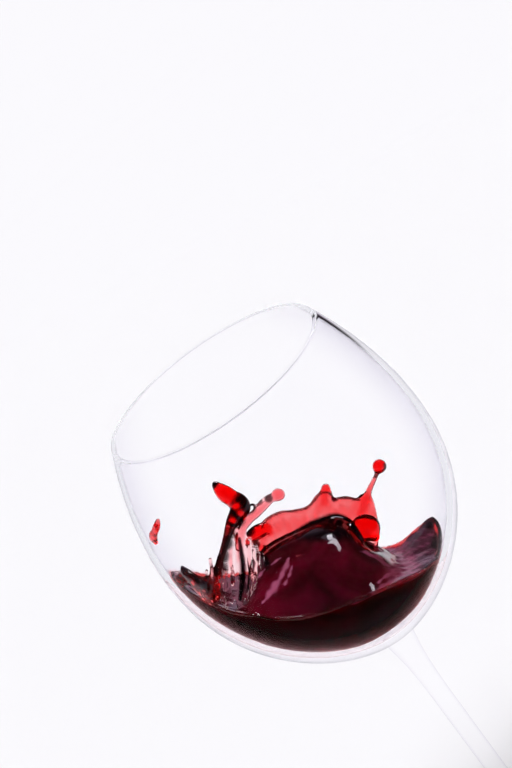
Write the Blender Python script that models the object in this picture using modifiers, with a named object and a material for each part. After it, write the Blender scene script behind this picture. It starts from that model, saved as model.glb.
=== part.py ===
"""A wide-bowled stemmed glass on its foot, holding red wine caught in the middle of a slosh.

Metres, +Z up. The origin is the centre of the foot's underside.
"""

import math

import bmesh
import bpy
from mathutils import Matrix, Vector

MM = 0.001

# Glass
SEGMENTS = 64
FOOT_RADIUS = 0.0385
FOOT_EDGE = 0.0018
FOOT_TOP_RADIUS = 0.033
FOOT_TOP = 0.0027
FOOT_FLARE_TOP = 0.023
STEM_RADIUS = 0.00315
STEM_HEIGHT = 0.097
SEAM_RADIUS = 0.0053
SEAM_FLARE = 0.0105
SEAM_FLARE_POWER = 1.4
BOWL_RADIUS = 0.050
BOWL_WIDEST = 0.0616
BOWL_HEIGHT = 0.1081
BOWL_ROUND_OUT = 1.275
BOWL_ROUND_UP = 0.935
RIM_RADIUS = 0.0387
RIM_CURVE = 1.894
RIM_BEAD = 0.00068
# Wall thickness at heights over the bowl's lowest outside point
WALL = ((0.0, 0.0050), (0.004, 0.0042), (0.012, 0.0036), (0.035, 0.0032), (0.0616, 0.0022), (0.090, 0.0015),
        (0.1081, 0.00125))

# Wine: the slosh is laid out in millimetres as it is seen, right, up and toward the viewer,
# about the bowl's middle, with the glass leaned to the left and tipped toward the viewer
LEAN = math.radians(36.4)
TIP = math.radians(22.5)
MIDDLE = STEM_HEIGHT + 0.050
WALL_GAP = 0.0003
VOXEL = 0.00085
WINE_KEPT = 0.040

# Level of the wine along the picture, at the middle of its depth
LEVEL = ((-46, -15.0), (-41, -17.5), (-36, -20.6), (-31, -22.2), (-26, -24.0), (-14, -25.9), (-4, -24.8),
         (5, -22.0), (17.5, -17.3), (25.4, -15.3), (36, -11.8), (44, -9.5))
LEVEL_SLOPE = 0.18
# The dome of wine that rises out of the pool: its height along the picture, and its reach in depth
DOME = ((-27, 0.0), (-23.4, 0.6), (-20.4, 4.5), (-18.3, 11.0), (-16.5, 14.6), (-13, 17.5), (-9, 19.2),
        (-3, 21.0), (3, 21.8), (8, 21.1), (12, 18.3), (16.5, 12.0), (20.7, 7.4), (26, 2.2), (30, 0.0))
DOME_TOWARD = -4.0
DOME_REACH_NEAR = 34.0
DOME_REACH_FAR = 17.0
DOME_FALL = 0.7
# The hollow in the dome's right-hand slope
DENT_RIGHT = 17.2
DENT_TOWARD = -3.0
DENT_DEPTH = 2.4
# The wave that climbs the right-hand far wall
CLIMB_FROM = 27.0
CLIMB_WIDTH = 14.0
CLIMB_HEIGHT = 9.0


def between(x, pairs):
    """The value at x along (x, value) pairs, in straight runs from one to the next."""
    if x <= pairs[0][0]:
        return pairs[0][1]
    for (x0, y0), (x1, y1) in zip(pairs, pairs[1:]):
        if x <= x1:
            t = (x - x0) / (x1 - x0)
            return y0 + (y1 - y0) * t
    return pairs[-1][1]


def bowl_point(share):
    """Outside of the bowl as (radius, height over its lowest point), for shares 0 (bottom) to 1 (rim)."""
    turn = 0.7
    if share < turn:
        a = share / turn * math.pi / 2
        radius = BOWL_RADIUS * math.sin(a) ** BOWL_ROUND_OUT
        return radius, BOWL_WIDEST * (1 - max(math.cos(a), 0.0) ** BOWL_ROUND_UP)
    s = (share - turn) / (1 - turn)
    radius = BOWL_RADIUS - (BOWL_RADIUS - RIM_RADIUS) * s ** RIM_CURVE
    return radius, BOWL_WIDEST + (BOWL_HEIGHT - BOWL_WIDEST) * s


def inside_point(share, gap=0.0):
    """Inside of the bowl: the outside moved inward by the wall's thickness and a gap."""
    step = 1e-4
    r0, z0 = bowl_point(max(share - step, 0.0))
    r1, z1 = bowl_point(min(share + step, 1.0))
    length = math.hypot(r1 - r0, z1 - z0)
    radius, height = bowl_point(share)
    offset = between(height, WALL) + gap
    return radius - offset * (z1 - z0) / length, height + offset * (r1 - r0) / length


INSIDE_SHARES = [0.035, 0.08, 0.14, 0.2, 0.26, 0.32, 0.38, 0.44, 0.5, 0.56, 0.62, 0.68, 0.75, 0.82, 0.88,
                 0.94, 1.0]
SEAM_SHARE = 0.078


def inside_profile(gap=0.0):
    """Points up the inside of the bowl, from the axis to the rim."""
    points = [(0.0, STEM_HEIGHT + WALL[0][1] + gap)]
    for share in INSIDE_SHARES:
        radius, height = inside_point(share, gap)
        points.append((radius, STEM_HEIGHT + height))
    return points


def rim_profile():
    """The rounded rim, from the inner wall over to the outer one."""
    inner, height = inside_point(1.0)
    middle = (inner + RIM_RADIUS) / 2
    points = []
    for i in range(1, 6):
        a = math.pi * (1 - i / 6)
        points.append((middle + RIM_BEAD * math.cos(a), STEM_HEIGHT + height + RIM_BEAD * math.sin(a)))
    return points


def outside_profile():
    """Points down the outside: the bowl, the stem and the foot."""
    points = []
    for i in range(19):
        share = 1.0 + (SEAM_SHARE - 1.0) * i / 18
        radius, height = bowl_point(share)
        points.append((radius, STEM_HEIGHT + height))
    for depth in (0.0015, 0.004, 0.007, 0.011, 0.016, 0.024):
        flare = (SEAM_RADIUS - STEM_RADIUS) * math.exp(-((depth / SEAM_FLARE) ** SEAM_FLARE_POWER))
        points.append((STEM_RADIUS + flare, STEM_HEIGHT - depth))
    for i in range(7):
        a = math.pi / 2 * i / 6
        radius = STEM_RADIUS + (FOOT_TOP_RADIUS - STEM_RADIUS) * (1 - math.cos(a)) ** 1.3
        points.append((radius, FOOT_TOP + (FOOT_FLARE_TOP - FOOT_TOP) * (1 - math.sin(a)) ** 1.3))
    for i in range(5):
        a = math.pi * (0.5 - i / 4)
        half = FOOT_EDGE / 2
        points.append((FOOT_RADIUS - half + half * math.cos(a), half + half * math.sin(a)))
    points.append((0.0, 0.0))
    return points


def turned(name, profile, collection):
    """A solid turned about Z from a profile given top to bottom down its outer side."""
    mesh = bpy.data.meshes.new(name)
    vertices = [(radius, 0.0, height) for radius, height in profile]
    edges = [(i, i + 1) for i in range(len(profile) - 1)]
    mesh.from_pydata(vertices, edges, [])
    body = bpy.data.objects.new(name, mesh)
    collection.objects.link(body)
    screw = body.modifiers.new("Turn", "SCREW")
    screw.axis = "Z"
    screw.angle = 2 * math.pi
    screw.steps = SEGMENTS
    screw.render_steps = SEGMENTS
    screw.use_merge_vertices = True
    screw.merge_threshold = 0.00001
    screw.use_smooth_shade = True
    return body


def seen(right, up, toward):
    """A point of the slosh, given in millimetres as it is seen, in the standing glass's own frame."""
    lean_c, lean_s = math.cos(LEAN), math.sin(LEAN)
    tip_c, tip_s = math.cos(TIP), math.sin(TIP)
    right_axis = Vector((lean_c, -lean_s * tip_s, -lean_s * tip_c))
    up_axis = Vector((lean_s, lean_c * tip_s, lean_c * tip_c))
    toward_axis = Vector((0.0, -tip_c, tip_s))
    offset = right * MM * right_axis + up * MM * up_axis + toward * MM * toward_axis
    return Vector((0.0, 0.0, MIDDLE)) + offset


def dome_height(right, toward):
    """How far the dome stands over the pool's level."""
    reach = DOME_REACH_NEAR if toward > DOME_TOWARD else DOME_REACH_FAR
    share = (toward - DOME_TOWARD) / reach
    if abs(share) >= 1:
        return 0.0
    hollow = ((right - DENT_RIGHT) / 3.6) ** 2 + ((toward - DENT_TOWARD) / 9.0) ** 2
    height = between(right, DOME) * (1 - share * share) ** DOME_FALL - DENT_DEPTH * math.exp(-hollow)
    return max(height, 0.0)


def surface(right, toward):
    """Height of the wine's open surface."""
    level = between(right, LEVEL) - LEVEL_SLOPE * toward
    # On the far left the pool lies level in depth
    level += LEVEL_SLOPE * min(toward, 0.0) * min(max((-24 - right) / 8, 0.0), 1.0)
    climb = min(max((right - CLIMB_FROM) / CLIMB_WIDTH, 0.0), 1.0)
    far = min(max((6 - toward) / 20, 0.0), 1.0)
    ripple = 0.5 * math.sin(0.45 * right + 0.3 * toward) * climb
    return level + dome_height(right, toward) + CLIMB_HEIGHT * climb ** 1.4 * far + ripple


def slab(front, back):
    """A closed mesh between two grids of points with the same rows and columns."""
    rows, columns = len(front), len(front[0])
    vertices = [p for row in front for p in row] + [p for row in back for p in row]
    half = rows * columns
    faces = []
    for i in range(rows - 1):
        for j in range(columns - 1):
            a, b = i * columns + j, i * columns + j + 1
            c, d = b + columns, a + columns
            faces.append((a, b, c, d))
            faces.append((half + d, half + c, half + b, half + a))
    edge = [j for j in range(columns)]
    edge += [i * columns + columns - 1 for i in range(1, rows)]
    edge += [(rows - 1) * columns + j for j in range(columns - 2, -1, -1)]
    edge += [i * columns for i in range(rows - 2, 0, -1)]
    for a, b in zip(edge, edge[1:] + edge[:1]):
        faces.append((b, a, half + a, half + b))
    return vertices, faces


def pool():
    """The pool and its dome, deeper and wider than the bowl, which cuts it to shape."""
    top, bottom = [], []
    for i in range(51):
        toward = -50 + 2 * i
        top.append([seen(-50 + 2 * j, surface(-50 + 2 * j, toward), toward) for j in range(51)])
        bottom.append([seen(-50 + 2 * j, -56, toward) for j in range(51)])
    return slab(bottom, top)


def sheet(low_edge, high_edge, thickness, rows=5):
    """A thin standing sheet of wine between a low and a high edge, thinner toward its high edge."""
    front, back = [], []
    for i in range(rows + 1):
        share = i / rows
        half = thickness / 2 * (1 - 0.3 * share)
        line = []
        for low, high in zip(low_edge, high_edge):
            line.append([a + (b - a) * share for a, b in zip(low, high)])
        front.append([seen(r, u, t + half) for r, u, t in line])
        back.append([seen(r, u, t - half) for r, u, t in line])
    return slab(front, back)


def mesh_of(body):
    """Vertices and faces of an object as evaluated."""
    graph = bpy.context.evaluated_depsgraph_get()
    mesh = bpy.data.meshes.new_from_object(body.evaluated_get(graph))
    vertices = [body.matrix_world @ v.co for v in mesh.vertices]
    faces = [tuple(p.vertices) for p in mesh.polygons]
    return vertices, faces


def strand(points, collection):
    """A rounded finger of wine through (right, up, toward, radius) points, as a bevelled curve."""
    curve = bpy.data.curves.new("strand", "CURVE")
    curve.dimensions = "3D"
    curve.bevel_depth = MM
    curve.bevel_resolution = 3
    curve.resolution_u = 6
    curve.use_fill_caps = True
    spline = curve.splines.new("NURBS")
    spline.points.add(len(points) - 1)
    for point, (right, up, toward, radius) in zip(spline.points, points):
        point.co = (*seen(right, up, toward), 1.0)
        point.radius = radius
    spline.order_u = 3
    spline.use_endpoint_u = True
    body = bpy.data.objects.new("strand", curve)
    body.hide_render = True
    collection.objects.link(body)
    bpy.context.view_layer.update()
    vertices, faces = mesh_of(body)
    bpy.data.objects.remove(body)
    return vertices, faces


def ball(right, up, toward, radius):
    """A round bead of wine."""
    form = bmesh.new()
    centre = Matrix.Translation(seen(right, up, toward))
    bmesh.ops.create_uvsphere(form, u_segments=16, v_segments=8, radius=radius * MM, matrix=centre)
    form.verts.index_update()
    vertices = [v.co.copy() for v in form.verts]
    faces = [tuple(v.index for v in face.verts) for face in form.faces]
    form.free()
    return vertices, faces


def joined(name, pieces, collection):
    """One object holding several closed, overlapping meshes."""
    vertices, faces = [], []
    for piece_vertices, piece_faces in pieces:
        start = len(vertices)
        vertices += piece_vertices
        faces += [tuple(start + i for i in face) for face in piece_faces]
    mesh = bpy.data.meshes.new(name)
    mesh.from_pydata(vertices, [], faces)
    body = bpy.data.objects.new(name, mesh)
    collection.objects.link(body)
    return body


def fuse(body, voxel, smoothing, kept, room):
    """Melts overlapping pieces into one liquid form and cuts it to the room inside the glass."""
    remesh = body.modifiers.new("Melt", "REMESH")
    remesh.mode = "VOXEL"
    remesh.voxel_size = voxel
    remesh.use_smooth_shade = True
    smooth = body.modifiers.new("Soften", "SMOOTH")
    smooth.factor = 0.5
    smooth.iterations = smoothing
    reduce = body.modifiers.new("Reduce", "DECIMATE")
    reduce.ratio = kept
    cut = body.modifiers.new("Glass wall", "BOOLEAN")
    cut.operation = "INTERSECT"
    cut.solver = "EXACT"
    cut.object = room


def crest_sheet():
    """The thin backlit sheet that stands on the dome."""
    high = ((-16.8, -4.0, -5), (-15.3, -0.8, -5), (-10.8, 2.4, -5), (-4.6, 3.1, -5), (-0.7, 4.7, -5),
            (2.5, 7.9, -5), (5.4, 8.6, -5), (7.2, 6.3, -5), (10.9, 7.1, -5), (14.1, 6.3, -5), (18.5, 6.0, -5),
            (20.0, 1.5, -5))
    low = [(right, up - 9 - 0.1 * abs(right), toward + 1) for right, up, toward in high]
    return sheet(low, high, 2.6)


def curtain(collection):
    """The ribbed curtain of wine that runs down in front on the left."""
    pieces = []
    high = ((-32.6, -15.5, 20), (-30.6, -12.0, 18), (-28.4, -7.5, 15), (-26.0, -2.0, 12), (-23.2, -1.5, 10),
            (-20.5, -5.5, 9), (-17.6, -9.0, 9))
    low = ((-33.2, -27, 24), (-31.4, -29, 24), (-29.0, -30, 23), (-26.0, -30, 21), (-23.0, -30, 19),
           (-20.0, -29, 17), (-16.0, -26, 14))
    pieces.append(sheet(low, high, 2.8))
    for i in range(6):
        share = i / 5
        top = -33.5 + 13 * share
        pieces.append(strand((
            (top, -14 + 6 * share, 20 - 9 * share, 0.9),
            (top + 0.6, -19 + 3 * share, 22 - 7 * share, 1.4),
            (top + 1.6, -24, 23 - 5 * share, 1.5),
            (top + 2.4, -30, 23 - 5 * share, 1.5)), collection))
    return pieces


def wine_pieces(collection):
    """Every form of the splash, overlapping, to be melted together."""
    pieces = [pool(), crest_sheet()]
    pieces += curtain(collection)
    # Large finger that bends over to the left
    pieces.append(strand(((-30.6, -24, 20, 2.4), (-30.2, -17, 17, 2.0), (-29.0, -11, 14.5, 1.8),
                          (-27.2, -5, 12, 1.8), (-25.4, -0.8, 10.5, 2.4), (-23.4, 2.4, 9, 3.1),
                          (-22.2, 5.6, 9, 3.3), (-26.8, 7.0, 9, 2.9), (-29.0, 9.0, 9, 2.4),
                          (-31.1, 11.0, 9, 1.3)), collection))
    # Thin finger with a beaded end
    pieces.append(strand(((-24.0, -9, 11, 1.8), (-22.6, -3.6, 9.5, 1.6), (-20.4, 0.2, 8, 1.6),
                          (-16.2, 3.8, 6, 1.4), (-11.6, 7.6, 5, 1.4)), collection))
    pieces.append(ball(-11.2, 7.9, 5, 2.1))
    # Lobes at both ends of the crest
    pieces.append(strand(((-21.6, -7.6, -3.2, 1.8), (-19.4, -4.6, -3.4, 2.5), (-17.2, -3.4, -3.8, 2.5),
                          (-14.4, -3.6, -4.2, 1.8)), collection))
    pieces.append(strand(((11.5, -0.8, 0, 2.6), (16.5, -1.8, 0.5, 3.6), (19.2, -3.6, 0.5, 2.8),
                          (20.2, -6.2, 0.5, 2.0)), collection))
    # Short finger on the crest, and the ligament with its droplet
    pieces.append(strand(((3.6, 4, -5, 1.6), (4.1, 8, -5, 1.5), (4.1, 11.0, -5, 1.4)), collection))
    pieces.append(strand(((15.5, 1.0, -4, 2.6), (16.4, 6.3, -5, 1.9), (18.3, 10.2, -5, 1.2),
                          (20.3, 14.2, -5, 0.95), (21.4, 17.3, -5, 1.2)), collection))
    pieces.append(ball(21.4, 17.3, -5, 2.3))
    # Small wave against the left wall, and the wave up the right wall
    pieces.append(strand(((-33, -23, 25, 2.8), (-36, -20.0, 26, 2.6), (-39.0, -17.0, 25, 2.1),
                          (-41.0, -16.4, 20, 1.9), (-42, -17.6, 10, 1.9), (-41, -20, 0, 2.4)), collection))
    pieces.append(strand(((26, -13, -30, 2.6), (31.9, -8.2, -27, 2.4), (37.0, -3.2, -20, 2.3),
                          (40.2, -0.6, -13, 2.1), (41.2, -4.0, -4, 2.2), (40.6, -9.5, 5, 2.6)), collection))
    return pieces


def material(name, colour, alpha, roughness, transmission):
    """A Principled material."""
    made = bpy.data.materials.new(name)
    made.use_nodes = True
    shader = next(n for n in made.node_tree.nodes if n.type == "BSDF_PRINCIPLED")
    shader.inputs["Base Color"].default_value = (*colour, 1.0)
    shader.inputs["Alpha"].default_value = alpha
    shader.inputs["Roughness"].default_value = roughness
    shader.inputs["Transmission Weight"].default_value = transmission
    made.diffuse_color = (*colour, alpha)
    return made


def collection_named(name):
    made = bpy.data.collections.new(name)
    bpy.context.scene.collection.children.link(made)
    return made


def main():
    for old in list(bpy.data.objects):
        bpy.data.objects.remove(old)
    parts = collection_named("glass of red wine")
    cutters = collection_named("cutters")

    glass = turned("glass", inside_profile() + rim_profile() + outside_profile(), parts)
    glass.data.materials.append(material("clear_glass", (0.93, 0.94, 0.96), 0.35, 0.02, 1.0))

    inside = inside_profile(WALL_GAP)
    room_profile = [(0.0, inside[-1][1])] + inside[::-1]
    room = turned("wine_room", room_profile, cutters)
    room.hide_render = True
    room.display_type = "WIRE"

    wine = joined("wine", wine_pieces(cutters), parts)
    wine.data.materials.append(material("red_wine", (0.16, 0.01, 0.03), 1.0, 0.05, 0.0))
    fuse(wine, VOXEL, 3, WINE_KEPT, room)

    drop = joined("wine_drop", [
        strand(((-48.3, -0.6, 29, 0.9), (-48.8, -2.6, 28, 1.3), (-49.6, -4.6, 25, 1.2)), cutters),
        strand(((-49.2, -3.4, 27, 1.0), (-49.8, -5.4, 23, 1.4), (-48.9, -6.9, 23, 0.9)), cutters)], parts)
    drop.data.materials.append(wine.data.materials[0])
    fuse(drop, 0.0004, 2, 0.2, room)


main()
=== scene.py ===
"""Looks of the glass of red wine: a finely turned glass, and wine frozen in its slosh."""
import math

import bpy
import numpy as np
from mathutils import Matrix, Vector


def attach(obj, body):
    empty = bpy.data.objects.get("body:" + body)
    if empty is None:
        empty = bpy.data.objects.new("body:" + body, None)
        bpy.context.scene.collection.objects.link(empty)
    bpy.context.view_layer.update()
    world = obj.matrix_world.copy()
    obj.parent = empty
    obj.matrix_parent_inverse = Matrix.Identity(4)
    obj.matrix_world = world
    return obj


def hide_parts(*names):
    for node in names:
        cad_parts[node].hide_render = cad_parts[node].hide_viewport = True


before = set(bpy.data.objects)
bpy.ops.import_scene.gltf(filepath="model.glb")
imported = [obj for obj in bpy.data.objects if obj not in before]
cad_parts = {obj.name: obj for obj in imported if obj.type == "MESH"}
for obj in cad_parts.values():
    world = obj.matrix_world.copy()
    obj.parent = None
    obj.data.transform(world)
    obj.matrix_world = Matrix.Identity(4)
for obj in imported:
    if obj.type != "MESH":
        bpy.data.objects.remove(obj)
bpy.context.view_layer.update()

MM = 0.001

# Sizes shared with the solids, in millimetres
STEM_HEIGHT = 97.0
BOWL_RADIUS = 50.0
BOWL_WIDEST = 61.6
BOWL_HEIGHT = 108.1
BOWL_ROUND_OUT = 1.275
BOWL_ROUND_UP = 0.935
RIM_RADIUS = 38.7
RIM_CURVE = 1.894
RIM_BEAD = 0.68
WALL_AT = (0.0, 4.0, 12.0, 35.0, 61.6, 90.0, 108.1)
WALL = (5.0, 4.2, 3.6, 3.2, 2.2, 1.5, 1.25)
SEAM_RADIUS = 5.3
SEAM_SHARE = 0.078
SEAM_FLARE = 10.5
SEAM_FLARE_POWER = 1.4
STEM_RADIUS = 3.15
FOOT_RADIUS = 38.5
FOOT_EDGE = 1.8
FOOT_TOP_RADIUS = 33.0
FOOT_TOP = 2.7
FOOT_FLARE_TOP = 23.0
LEAN = math.radians(36.4)
TIP = math.radians(22.5)
MIDDLE = STEM_HEIGHT + 50.0

# Camera, as fitted to the photograph
CAMERA_FAR = 0.9
CAMERA_TIP = math.radians(22.53)
CAMERA_ROLL = math.radians(36.365)
CAMERA_TURN = 0.0205
CAMERA_LIFT = -0.0484
CAMERA_FOCAL = 2798.0


def make_camera():
    forward = Vector((0, math.cos(CAMERA_TIP), -math.sin(CAMERA_TIP)))
    flat_right = Vector((1, 0, 0))
    flat_up = Vector((0, math.sin(CAMERA_TIP), math.cos(CAMERA_TIP)))
    right = math.cos(CAMERA_ROLL) * flat_right - math.sin(CAMERA_ROLL) * flat_up
    up = math.cos(CAMERA_ROLL) * flat_up + math.sin(CAMERA_ROLL) * flat_right
    place = Vector((0, 0, MIDDLE * MM)) - CAMERA_FAR * forward
    look = (forward - math.tan(CAMERA_TURN) * right - math.tan(CAMERA_LIFT) * up).normalized()
    right = (right - right.dot(look) * look).normalized()
    up = right.cross(look)
    data = bpy.data.cameras.new("camera")
    data.sensor_fit = "VERTICAL"
    data.sensor_height = 36.0
    data.lens = CAMERA_FOCAL / 768 * 36.0
    data.clip_start = 0.01
    data.clip_end = 50
    camera = bpy.data.objects.new("camera", data)
    bpy.context.scene.collection.objects.link(camera)
    camera.matrix_world = Matrix((
        (right.x, up.x, -look.x, place.x),
        (right.y, up.y, -look.y, place.y),
        (right.z, up.z, -look.z, place.z),
        (0, 0, 0, 1)))
    bpy.context.scene.camera = camera


# Glass
def bowl_outside(share):
    """Outside of the bowl: radius and height over its lowest point, from 0 at the bottom to 1 at the rim."""
    share = np.asarray(share, float)
    turn = 0.7
    a = np.clip(share / turn, 0, 1) * np.pi / 2
    low_r = BOWL_RADIUS * np.sin(a) ** BOWL_ROUND_OUT
    low_z = BOWL_WIDEST * (1 - np.clip(np.cos(a), 0, 1) ** BOWL_ROUND_UP)
    s = np.clip((share - turn) / (1 - turn), 0, 1)
    high_r = BOWL_RADIUS - (BOWL_RADIUS - RIM_RADIUS) * s ** RIM_CURVE
    high_z = BOWL_WIDEST + (BOWL_HEIGHT - BOWL_WIDEST) * s
    return np.where(share < turn, low_r, high_r), np.where(share < turn, low_z, high_z)


def bowl_inside(share):
    """Inside of the bowl, the outside moved inward by the wall's thickness."""
    step = 1e-4
    r0, z0 = bowl_outside(np.maximum(share - step, 0))
    r1, z1 = bowl_outside(np.minimum(share + step, 1))
    length = np.hypot(r1 - r0, z1 - z0)
    radius, height = bowl_outside(share)
    wall = np.interp(height, WALL_AT, WALL)
    return radius - wall * (z1 - z0) / length, height + wall * (r1 - r0) / length


def glass_profile():
    """Radius and height of the whole glass, from the inside bottom over the rim and down to the foot."""
    rows = [(0.0, STEM_HEIGHT + WALL[0])]
    shares = np.linspace(0.03, 1, 110)
    r, z = bowl_inside(shares)
    rows += list(zip(r, z + STEM_HEIGHT))
    middle = (r[-1] + RIM_RADIUS) / 2
    for i in range(1, 14):
        a = math.pi * (1 - i / 14)
        rows.append((middle + RIM_BEAD * math.cos(a), STEM_HEIGHT + z[-1] + RIM_BEAD * math.sin(a)))
    shares = np.linspace(1, SEAM_SHARE, 110)
    r, z = bowl_outside(shares)
    rows += list(zip(r, z + STEM_HEIGHT))
    for depth in np.linspace(0.4, 30, 40):
        flare = (SEAM_RADIUS - STEM_RADIUS) * math.exp(-((depth / SEAM_FLARE) ** SEAM_FLARE_POWER))
        rows.append((STEM_RADIUS + flare, STEM_HEIGHT - depth))
    for i in range(41):
        a = math.pi / 2 * i / 40
        rows.append((STEM_RADIUS + (FOOT_TOP_RADIUS - STEM_RADIUS) * (1 - math.cos(a)) ** 1.3,
                     FOOT_TOP + (FOOT_FLARE_TOP - FOOT_TOP) * (1 - math.sin(a)) ** 1.3))
    half = FOOT_EDGE / 2
    for i in range(13):
        a = math.pi * (0.5 - i / 12)
        rows.append((FOOT_RADIUS - half + half * math.cos(a), half + half * math.sin(a)))
    rows.append((0.0, 0.0))
    return np.array(rows)


def mesh_object(name, points, faces, smooth=True):
    mesh = bpy.data.meshes.new(name)
    mesh.from_pydata(points.tolist() if hasattr(points, "tolist") else points, [],
                     faces.tolist() if hasattr(faces, "tolist") else faces)
    if smooth:
        mesh.shade_smooth()
    piece = bpy.data.objects.new(name, mesh)
    bpy.context.scene.collection.objects.link(piece)
    return piece


def turned(name, profile, around):
    """Mesh turned about Z from a profile that starts and ends on the axis."""
    inner = profile[1:-1]
    n = len(inner)
    a = np.arange(around) * 2 * np.pi / around
    ring = np.stack([np.cos(a), np.sin(a)], -1)
    xy = inner[:, 0][:, None, None] * ring[None]
    z = np.broadcast_to(inner[:, 1][:, None, None], (n, around, 1))
    points = np.concatenate([xy, z], -1).reshape(-1, 3)
    points = np.concatenate([points, [[0, 0, profile[0, 1]], [0, 0, profile[-1, 1]]]]) * MM
    i, j = np.meshgrid(np.arange(n - 1), np.arange(around), indexing="ij")
    k = (j + 1) % around
    low, high = i * around, (i + 1) * around
    quads = np.stack([low + j, high + j, high + k, low + k], -1).reshape(-1, 4)
    first, last = n * around, n * around + 1
    jj = np.arange(around)
    kk = (jj + 1) % around
    faces = quads.tolist()
    faces += np.stack([np.full(around, first), jj, kk], -1).tolist()
    faces += np.stack([np.full(around, last), (n - 1) * around + kk, (n - 1) * around + jj], -1).tolist()
    return mesh_object(name, points, faces)


# Wine, as a signed distance on a grid in the picture's own axes, in millimetres
LEVEL_AT = (-46, -41, -36, -31, -26, -14, -4, 5, 17.5, 25.4, 36, 44)
LEVEL = (-17.2, -18.8, -20.8, -22.2, -24.0, -25.9, -24.8, -22.0, -17.3, -15.3, -11.8, -9.5)
LEVEL_SLOPE = 0.18
DOME_AT = (-31, -26, -23.4, -19.5, -18.3, -16.5, -13, -9, -3, 3, 8, 12, 16.5, 20.7, 26, 30)
DOME_RISE = (0, 0.2, 1.2, 6.5, 12.5, 16.4, 19.0, 20.6, 22.4, 23.4, 22.8, 20.0, 13.8, 9.0, 3.6, 0)
DOME_TOWARD = -4.0
DOME_NEAR_REACH, DOME_FAR_REACH = 34.0, 17.0
DOME_FALL = 0.7
DENT_RIGHT, DENT_TOWARD, DENT_DEPTH = 17.2, -3.0, 3.2
CLIMB_FROM, CLIMB_WIDTH, CLIMB_HEIGHT = 27.0, 14.0, 9.0
MENISCUS, MENISCUS_REACH = 1.5, 0.8

LEAN_C, LEAN_S, TIP_C, TIP_S = math.cos(LEAN), math.sin(LEAN), math.cos(TIP), math.sin(TIP)
RIGHT_AXIS = np.array([LEAN_C, -LEAN_S * TIP_S, -LEAN_S * TIP_C])
UP_AXIS = np.array([LEAN_S, LEAN_C * TIP_S, LEAN_C * TIP_C])
TOWARD_AXIS = np.array([0.0, -TIP_C, TIP_S])
AXES = np.stack([RIGHT_AXIS, UP_AXIS, TOWARD_AXIS])


def to_glass(points):
    """Picture-axis millimetres to the glass's own frame, in metres."""
    return (np.asarray(points) @ AXES + np.array([0, 0, MIDDLE])) * MM


def wall_table():
    """Signed distance to the bowl's inner wall over (radius, height), negative inside, on a 0.5 mm grid."""
    shares = np.linspace(0.0, 1, 700)
    r, z = bowl_inside(shares)
    keep = r > 0
    r, z = np.append(0.0, r[keep]), np.append(WALL[0], z[keep])
    # the wall goes on past the rim, so that the rim is no edge of the room
    r, z = np.append(r, r[-1] - 1.0), np.append(z, z[-1] + 6.0)
    rr, zz = np.meshgrid(np.arange(0, 60.1, 0.5), np.arange(-4, 116.1, 0.5), indexing="ij")
    best = np.full(rr.shape, 1e9)
    sign = np.zeros(rr.shape)
    for a in range(len(r) - 1):
        pr, pz = r[a + 1] - r[a], z[a + 1] - z[a]
        t = np.clip(((rr - r[a]) * pr + (zz - z[a]) * pz) / (pr * pr + pz * pz + 1e-12), 0, 1)
        dr, dz = rr - r[a] - t * pr, zz - z[a] - t * pz
        d = dr * dr + dz * dz
        side = dr * pz - dz * pr
        near = d < best
        best = np.where(near, d, best)
        sign = np.where(near, np.sign(side), sign)
    return np.sqrt(best) * np.where(sign >= 0, 1, -1)


WALL_TABLE = wall_table()


def room(points):
    """Distance to the inner wall of picture-axis points, negative inside the bowl."""
    p = points @ AXES
    radius = np.hypot(p[..., 0], p[..., 1])
    height = p[..., 2] + 50.0
    x = np.clip(radius / 0.5, 0, WALL_TABLE.shape[0] - 1.001)
    y = np.clip((height + 4) / 0.5, 0, WALL_TABLE.shape[1] - 1.001)
    i, j = x.astype(np.int32), y.astype(np.int32)
    u, v = x - i, y - j
    return ((WALL_TABLE[i, j] * (1 - u) + WALL_TABLE[i + 1, j] * u) * (1 - v)
            + (WALL_TABLE[i, j + 1] * (1 - u) + WALL_TABLE[i + 1, j + 1] * u) * v)


def ease(x):
    x = np.clip(x, 0, 1)
    return x * x * (3 - 2 * x)


def rounded(right, at, values, reach):
    """A line through named points, with its corners rounded over `reach`."""
    shares = np.linspace(-1, 1, 15)
    weights = np.cos(shares * np.pi / 2) ** 2 + 0.001
    total = 0
    for share, weight in zip(shares, weights):
        total = total + weight * np.interp(right + share * reach, at, values)
    return total / weights.sum()


def smooth_level(right):
    """The level along the picture."""
    return rounded(right, LEVEL_AT, LEVEL, 3.0)


def waves(right, toward, seed, length, count):
    """A sum of random plane waves about `length` long, of unit height."""
    rng = np.random.default_rng(seed)
    total = np.zeros(np.broadcast(right, toward).shape, np.float32)
    for _ in range(count):
        turn, phase = rng.uniform(0, 2 * np.pi), rng.uniform(0, 2 * np.pi)
        wave = 2 * np.pi / (length * rng.uniform(0.7, 1.5))
        total += np.sin(wave * (right * math.cos(turn) + toward * math.sin(turn)) + phase)
    return total / math.sqrt(count)


def pool_height(right, toward):
    """Height of the open surface over the picture's own level."""
    climb = ease((right - CLIMB_FROM) / CLIMB_WIDTH)
    far = ease((8 - toward) / 26)
    left = ease((-24 - right) / 8)
    level = smooth_level(right) - LEVEL_SLOPE * toward + CLIMB_HEIGHT * climb * far
    level = level + LEVEL_SLOPE * np.minimum(toward, 0) * left
    level = level + waves(right, toward, 3, 9.0, 7) * (0.10 + 0.16 * ease((right - 16) / 14))
    return level + waves(right, toward, 8, 3.6, 7) * 0.035


def dome_height(right, toward):
    reach = np.where(toward > DOME_TOWARD, DOME_NEAR_REACH, DOME_FAR_REACH)
    share = (toward - DOME_TOWARD) / reach
    return rounded(right, DOME_AT, DOME_RISE, 3.2) * np.clip(1 - share * share, 0, None) ** DOME_FALL


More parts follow.
